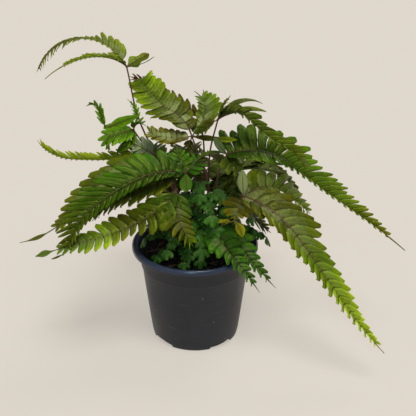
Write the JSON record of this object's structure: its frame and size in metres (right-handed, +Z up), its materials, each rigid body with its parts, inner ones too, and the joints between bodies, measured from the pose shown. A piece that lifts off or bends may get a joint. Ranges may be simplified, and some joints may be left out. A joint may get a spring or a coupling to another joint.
{
  "type": "potted tricolor brake fern",
  "caption": "Brake fern with arching, deeply lobed fronds on thin brown stalks, growing in soil in a round black nursery pot with a rolled rim.",
  "frame": {"origin": "middle of the pot's flat base, on the surface that it stands on", "axes": "+Z up along the pot's axis; -Y is the front, towards the picture's camera; +X is to the picture's right"},
  "size_m": [0.3868, 0.2746, 0.3027],
  "materials": {
    "pot": "satin",
    "soil": "matte",
    "stalk": "satin",
    "leaf": "satin",
    "young_leaf": "satin",
    "bronze_leaf": "satin"
  },
  "bodies": {
    "root": {"pot": "pot", "soil": "soil", "high_left_stalk": "stalk", "high_left_blade": "leaf", "upper_centre_stalk": "stalk", "upper_centre_blade": "leaf", "arching_right_stalk": "stalk", "arching_right_blade": "leaf", "upper_right_stalk": "stalk", "upper_right_blade": "leaf", "right_front_stalk": "stalk", "right_front_blade": "leaf", "big_left_stalk": "stalk", "big_left_blade": "leaf", "far_left_stalk": "stalk", "far_left_blade": "leaf", "lower_left_stalk": "stalk", "lower_left_blade": "leaf", "small_left_stalk": "stalk", "small_left_blade": "leaf", "draped_right_stalk": "stalk", "draped_right_blade": "leaf", "dark_right_stalk": "stalk", "dark_right_blade": "leaf", "back_left_stalk": "stalk", "back_left_blade": "leaf", "back_centre_stalk": "stalk", "back_centre_blade": "leaf", "back_right_stalk": "stalk", "back_right_blade": "leaf", "low_back_right_stalk": "stalk", "low_back_right_blade": "leaf", "low_back_left_stalk": "stalk", "low_back_left_blade": "leaf", "young_left": "young_leaf", "young_front_left": "young_leaf", "young_front": "young_leaf", "young_right": "young_leaf", "young_centre": "young_leaf", "bronze_centre": "bronze_leaf"}
  },
  "joints": []
}
